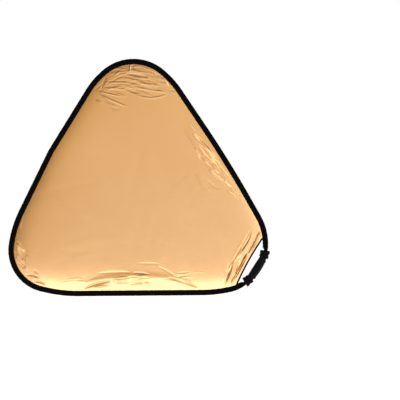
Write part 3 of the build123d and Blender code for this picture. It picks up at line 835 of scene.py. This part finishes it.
# ---------------------------------------------------------------- the tape along the cut corner
TAPE_OUT, TAPE_IN = 0.0034, 0.0042  # past the cut's own edge, and in over the cloths
TAPE_SEAM = (0.0016, 0.0012)
TAPE_UNDER = 0.0008  # how far its ends go in under the sleeve's lips
TAPE_TURNS = np.linspace(60, 240, 3601)  # directions that are tried for its two ends, in degrees
TAPE_ROWS, TAPE_SEED, TAPE_PUCKER = 260, 8, 0.00004
TAPE_PITCH, TAPE_STITCH = 0.0032, 0.7  # one stitch to the next, and a stitch's share of that


def tape_range():
    """Directions from the cut's centre where the tape starts and ends, under the sleeve's lips."""
    inside = []
    for turn in TAPE_TURNS:
        spot = np.array(step(cut_centre, turn, cut_radius))
        i = nearest(spot)
        if (spot - hoop[i]) @ hoop_out[i] < -SLEEVE_HALF + TAPE_UNDER:
            inside.append(turn)
    return inside[0], inside[-1]


def tape_spot(turn, reach, depth):
    """A point of the tape: reach is in over the cloths from the cut's edge, depth to the front."""
    x, z = step(cut_centre, turn, cut_radius + reach)
    return np.array((x, -depth, z))


def tape_pieces():
    """A folded tape over the cloths' cut edge, and its row of stitches on both faces."""
    first, last = tape_range()
    rng = np.random.default_rng(TAPE_SEED)
    waves = [(rng.uniform(0.2, 1.2), rng.uniform(0, 6.28)) for _ in range(6)]
    rows, uvs = [], []
    for k in range(TAPE_ROWS):
        turn = first + (last - first) * k / (TAPE_ROWS - 1)
        pucker = sum(math.sin(f * k + p) for f, p in waves) * TAPE_PUCKER
        section = [(TAPE_IN, 0.0007), (TAPE_IN, 0.0012 + pucker)]
        section += [(TAPE_IN - 0.0004, 0.0014 + pucker), TAPE_SEAM]
        section += [(0.0010, 0.0014), (0.0, 0.0015 + pucker)]
        for a in range(0, 91, 15):
            b = math.radians(a)
            section.append((-TAPE_OUT + 0.0014 - 0.0014 * math.sin(b), 0.00145 * math.cos(b)))
        section += [(u, -v) for u, v in reversed(section[:-1])]
        rows.append([tape_spot(turn, u, v) for u, v in section])
        uvs.append([(math.radians(turn) * cut_radius, 0.0006 * j) for j in range(len(section))])
    places = []
    for face in (1, -1):
        lift = np.array((0.0, -face, 0.0))
        turn, pitch = first, math.degrees(TAPE_PITCH / cut_radius)
        reach, depth = TAPE_SEAM[0], TAPE_SEAM[1] * face
        while turn + pitch < last:
            start = tape_spot(turn, reach, depth)
            end = tape_spot(turn + TAPE_STITCH * pitch, reach, depth)
            places.append((start, end, lift))
            turn += pitch
    return skin("corner_tape", rows, uvs, SLEEVE), stitching("tape_stitching", places)


tape, tape_thread = tape_pieces()

# ---------------------------------------------------------------- the hand strap and the grip pads
# The grip's half length, its outer side at the middle and the ends, its half depth and rounding.
BLANK_HALF, MID_OUTER, END_OUTER, SHELL_DEEP, SHELL_ROUND = 0.062, 0.0205, 0.0140, 0.015, 0.011
outer_arc = (BLANK_HALF**2 + (MID_OUTER - END_OUTER) ** 2) / (2 * (MID_OUTER - END_OUTER))
arc_centre = MID_OUTER - outer_arc
STRAP_HALF, STRAP_REACH, STRAP_GAP, STRAP_THICK = 0.050, 0.0085, 0.0003, 0.0016
STRAP_ROWS, STRAP_TURNS, STRAP_FLATS, STRAP_RIBS = 120, 40, 20, 15
STRAP_THIN, STRAP_UNEVEN = 0.55, 0.00008  # how much its ends are thinner, and its small waviness
RIB_HIGH, EDGE_DROP = 0.00022, 0.0005  # the strap's ribs, and how far its two edges fall away
PAD_HALF, PAD_WIDE, PAD_LINE, PAD_SUNK, PAD_PROUD = 0.036, 0.012, 0.0015, 0.0015, 0.0010
PAD_ROUND, PAD_RIM, PAD_EASE = 0.0008, 0.0012, 0.0006  # its edge, plain margin and ribs' start
PAD_GROOVE, PAD_PITCH, PAD_ROWS, PAD_ACROSS = 0.0005, 0.0028, 240, 24


def grip_spot(along, out, depth):
    """A point along the grip, outwards from it and to the front."""
    x, z = from_grip(along, out)
    return (x, -depth, z)


def strap_line():
    """Round the grip's outer side, from front to back: (u, v) and the normal's angle."""
    turn = math.degrees(math.acos((SHELL_ROUND - STRAP_REACH) / SHELL_ROUND))
    flat = SHELL_DEEP - SHELL_ROUND
    line = []
    for k in range(STRAP_TURNS + 1):
        a = math.radians(turn * (1 - k / STRAP_TURNS))
        line.append((-SHELL_ROUND + SHELL_ROUND * math.cos(a), flat + SHELL_ROUND * math.sin(a), a))
    line += [(0.0, flat - 2 * flat * k / STRAP_FLATS, 0.0) for k in range(1, STRAP_FLATS)]
    line += [(u, -v, -a) for u, v, a in reversed(line[:STRAP_TURNS + 1])]
    return line


def strap_piece():
    """A ribbed elastic strap that lies on the outer side of the grip."""
    line = strap_line()
    girth = girths(line)
    rows, uvs = [], []
    turn = math.asin(STRAP_HALF / outer_arc)
    for k in range(STRAP_ROWS + 1):
        place = 2 * k / STRAP_ROWS - 1
        phi = turn * place
        pull = STRAP_UNEVEN * math.sin(k * 1.9)
        thick = STRAP_THICK * (1 - STRAP_THIN * abs(place) ** 8)
        row, uv = [], []
        for j, (u, v, a) in enumerate(line):
            edge = min(girth[j], girth[-1] - girth[j])
            rib = RIB_HIGH * math.cos(2 * math.pi * girth[j] / (girth[-1] / STRAP_RIBS))
            drop = EDGE_DROP * math.exp(-edge / EDGE_DROP)
            grow = STRAP_GAP + thick - 0.00025 + rib + pull - drop
            row.append((u + grow * math.cos(a), v + grow * math.sin(a)))
            uv.append((phi * outer_arc, girth[j]))
        for j in reversed(range(len(line))):
            u, v, a = line[j]
            row.append((u + STRAP_GAP * math.cos(a), v + STRAP_GAP * math.sin(a)))
            uv.append((phi * outer_arc, girth[j]))
        rows.append([])
        for u, v in row:
            along, out = (outer_arc + u) * math.sin(phi), (outer_arc + u) * math.cos(phi)
            rows[-1].append(grip_spot(along, arc_centre + out, v))
        uvs.append(uv)
    return skin("elastic_hand_strap", rows, uvs, ELASTIC)


def pad_piece(name, face):
    """A soft pad let into the grip, with a field of fine cross ribs. face is 1 for the front."""
    rows, uvs = [], []
    half, radius = PAD_WIDE / 2, PAD_ROUND
    straight = PAD_HALF - half
    for k in range(PAD_ROWS + 1):
        along = -PAD_HALF * math.cos(math.pi * k / PAD_ROWS)
        past = max(abs(along) - straight, 0)
        wide = math.sqrt(max(half * half - past * past, 1e-10))
        top, uv = [], []
        ribbed = (0.5 + 0.5 * math.cos(2 * math.pi * along / PAD_PITCH)) ** 2
        for j in range(PAD_ACROSS + 1):
            t = -math.cos(math.pi * j / PAD_ACROSS)
            rim = max(half - math.hypot(past, wide * t), 0) if past else half * (1 - abs(t))
            e = min(rim, radius)
            drop = radius - math.sqrt(max(radius**2 - (radius - e) ** 2, 0))
            field = min(max((rim - PAD_RIM) / PAD_EASE, 0), 1)
            groove = PAD_GROOVE * field * ribbed
            top.append((PAD_LINE + wide * t, SHELL_DEEP + PAD_PROUD - drop - groove))
            uv.append((along, wide * t))
        bottom = [(out, SHELL_DEEP - PAD_SUNK) for out, _ in reversed(top)]
        rows.append([grip_spot(along, out, depth * face) for out, depth in top + bottom])
        uvs.append(uv + uv[::-1])
    return skin(name, rows, uvs, RUBBER)


strap = strap_piece()
pad_front = pad_piece("ribbed_pad_front", 1)
pad_rear = pad_piece("ribbed_pad_rear", -1)

# ---------------------------------------------------------------- put the pieces in place of the CAD's parts, and give the rest their materials
for obj, nodes, name in (
    (
        band,
        (
            "spring_band_handle_side", "spring_band_flex_top", "spring_band_flex_bottom",
            "spring_band_far_upper", "spring_band_far_lower",
        ),
        "spring_steel",
    ),
    (gold, ("gold_face_handle_side", "gold_face_flex", "gold_face_far_side"), "gold_cloth"),
    (white, ("white_face_handle_side", "white_face_flex", "white_face_far_side"), "white_cloth"),
    (
        sleeve,
        (
            "rim_binding_handle_upper", "rim_binding_handle_lower", "rim_binding_flex_top",
            "rim_binding_flex_bottom", "rim_binding_far_side",
        ),
        "black_sleeve",
    ),
):
    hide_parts(*nodes)
    fold_over(obj)

fold_over(sleeve_thread)
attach(tape_thread, "handle_side")
for obj, name, slot in (
    (tape, "corner_edge_tape", "black_sleeve"),
    (strap, "hand_strap", "grey_elastic"),
    (pad_front, "grip_pad_front", "black_rubber"),
    (pad_rear, "grip_pad_rear", "black_rubber"),
):
    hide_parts(name)
    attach(obj, "handle_side")

carried = {
    "splice_sleeve": BAND_STEEL, "splice_rivets": DARK_STEEL, "upper_collar": RUBBER,
    "lower_collar": RUBBER, "handle_front_shell": PLASTIC, "handle_rear_shell": PLASTIC,
    "handle_screws": DARK_STEEL, "band_clamps": PLASTIC, "strap_plate_upper": PLASTIC,
    "strap_plate_lower": PLASTIC, "strap_pins": DARK_STEEL,
}
for name, mat in carried.items():
    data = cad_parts[name].data
    data.materials.clear()
    data.materials.append(mat)

# ---------------------------------------------------------------- floor and light
FLOOR_Z, FLOOR_REACH, FLOOR_GLOW = -0.75, 6.5, 0.56


def floor_piece():
    """A wide pale floor that glows faintly, so that it stays as white as the room's far end."""
    mat, _, shader = material("pale_floor", (0.9, 0.9, 0.9), 0.9, specular=0.1)
    shader.inputs["Emission Color"].default_value = (1, 1, 1, 1)
    shader.inputs["Emission Strength"].default_value = FLOOR_GLOW
    rim = [(*step((0, 0), a, FLOOR_REACH), FLOOR_Z) for a in range(0, 360, 10)]
    obj = new_mesh("floor", rim, [tuple(range(len(rim)))], smooth=False)
    obj.data.materials.append(mat)


floor_piece()


def area_light(name, place, target, size, power):
    """A white rectangular light that points at its target and isn't seen itself."""
    data = bpy.data.lights.new(name, "AREA")
    data.shape = "RECTANGLE"
    data.size, data.size_y = size
    data.energy = power
    obj = bpy.data.objects.new(name, data)
    obj.location = place
    obj.rotation_euler = (Vector(target) - Vector(place)).to_track_quat("-Z", "Y").to_euler()
    obj.visible_camera = False
    bpy.context.scene.collection.objects.link(obj)


TARGET = (-0.5, 0, 0.35)
area_light("key", (1.6, -2.6, 2.6), TARGET, (2.2, 2.2), 22)
area_light("fill", (-4.2, -1.8, 0.9), TARGET, (1.0, 1.6), 12)
area_light("back", (-0.9, 3.0, 2.4), TARGET, (2.0, 1.4), 12)
area_light("low_strip", (-0.45, -1.2, -0.50), (-0.45, 0, -0.1), (1.9, 0.36), 3.4)
area_light("side_strip", (0.62, -1.5, 0.25), (-0.1, 0, 0.25), (0.5, 1.1), 1.4)


def run_of_colours(tree, source, stops):
    """Colours over a value from -1 to 1. Each stop is a value and its colour."""
    spread = node(tree, "ShaderNodeMapRange")
    spread.inputs["From Min"].default_value = -1.0
    tree.links.new(source, spread.inputs["Value"])
    made = node(tree, "ShaderNodeValToRGB")
    made.color_ramp.elements.remove(made.color_ramp.elements[1])
    for k, (at, colour) in enumerate(stops):
        stop = made.color_ramp.elements[0] if k == 0 else made.color_ramp.elements.new((at + 1) / 2)
        stop.position = (at + 1) / 2
        stop.color = (*colour, 1)
    tree.links.new(spread.outputs["Result"], made.inputs["Fac"])
    return made.outputs["Color"]


WARM, CREAM = (1.0, 0.90, 0.64), (1.0, 0.98, 0.92)
PLAIN, COOL = (1.0, 1.0, 1.0), (1.0, 1.12, 1.28)


def lit(tint, amount):
    """A tint, brightened or dimmed."""
    return tuple(t * amount for t in tint)


# The room in front of the panel, as colours from its bottom to its top and from left to right.
UPWARDS = (
    (-0.90, lit(PLAIN, 1.0)), (-0.20, lit(PLAIN, 1.0)), (-0.06, lit(CREAM, 0.97)),
    (0.02, lit(PLAIN, 1.0)), (0.17, lit(WARM, 0.93)), (0.30, lit(WARM, 0.85)),
    (0.50, lit(WARM, 0.42)), (0.78, lit(WARM, 0.22)), (0.90, lit(COOL, 1.6)),
)
SIDEWAYS = (
    (-0.90, lit(WARM, 0.5)), (-0.50, lit(WARM, 0.34)), (-0.36, lit(WARM, 0.56)),
    (-0.26, lit(WARM, 0.86)), (-0.17, lit(PLAIN, 0.99)), (0.0, lit(PLAIN, 1.0)),
    (0.06, lit(PLAIN, 1.1)), (0.22, lit(COOL, 1.1)), (0.45, lit(PLAIN, 0.75)),
    (0.90, lit(WARM, 0.5)),
)
FRONT_TO_BACK = ((-0.05, (0, 0, 0)), (0.25, (1, 1, 1)))  # the share of the plain room behind
BEHIND = (0.55, 0.55, 0.56)


def studio_world():
    """The room round the object, which the gold cloth mirrors. The camera sees it plain white."""
    world = bpy.data.worlds.new("studio")
    bpy.context.scene.world = world
    world.use_nodes = True
    tree = world.node_tree
    where = node(tree, "ShaderNodeTexCoord").outputs["Generated"]
    split = node(tree, "ShaderNodeSeparateXYZ")
    tree.links.new(where, split.inputs["Vector"])
    upwards = run_of_colours(tree, split.outputs["Z"], UPWARDS)
    sideways = run_of_colours(tree, split.outputs["X"], SIDEWAYS)
    room = node(tree, "ShaderNodeMix", data_type="RGBA", blend_type="MULTIPLY")
    room.inputs["Factor"].default_value = 1.0
    tree.links.new(upwards, room.inputs[MIX_A])
    tree.links.new(sideways, room.inputs[MIX_B])
    backwards = run_of_colours(tree, split.outputs["Y"], FRONT_TO_BACK)
    whole = node(tree, "ShaderNodeMix", data_type="RGBA")
    tree.links.new(backwards, whole.inputs["Factor"])
    tree.links.new(room.outputs[MIX_RESULT], whole.inputs[MIX_A])
    whole.inputs[MIX_B].default_value = (*BEHIND, 1)
    lighting = tree.nodes["Background"]
    tree.links.new(whole.outputs[MIX_RESULT], lighting.inputs["Color"])
    lighting.inputs["Strength"].default_value = 1.0
    seen = node(tree, "ShaderNodeBackground")
    seen.inputs["Color"].default_value = (1, 1, 1, 1)
    seen.inputs["Strength"].default_value = 1.0
    choose = node(tree, "ShaderNodeMixShader")
    tree.links.new(node(tree, "ShaderNodeLightPath").outputs["Is Camera Ray"], choose.inputs["Fac"])
    tree.links.new(lighting.outputs["Background"], choose.inputs[1])
    tree.links.new(seen.outputs["Background"], choose.inputs[2])
    tree.links.new(choose.outputs["Shader"], tree.nodes["World Output"].inputs["Surface"])


studio_world()
bpy.context.scene.view_settings.view_transform = "Standard"
bpy.context.scene.view_settings.look = "None"
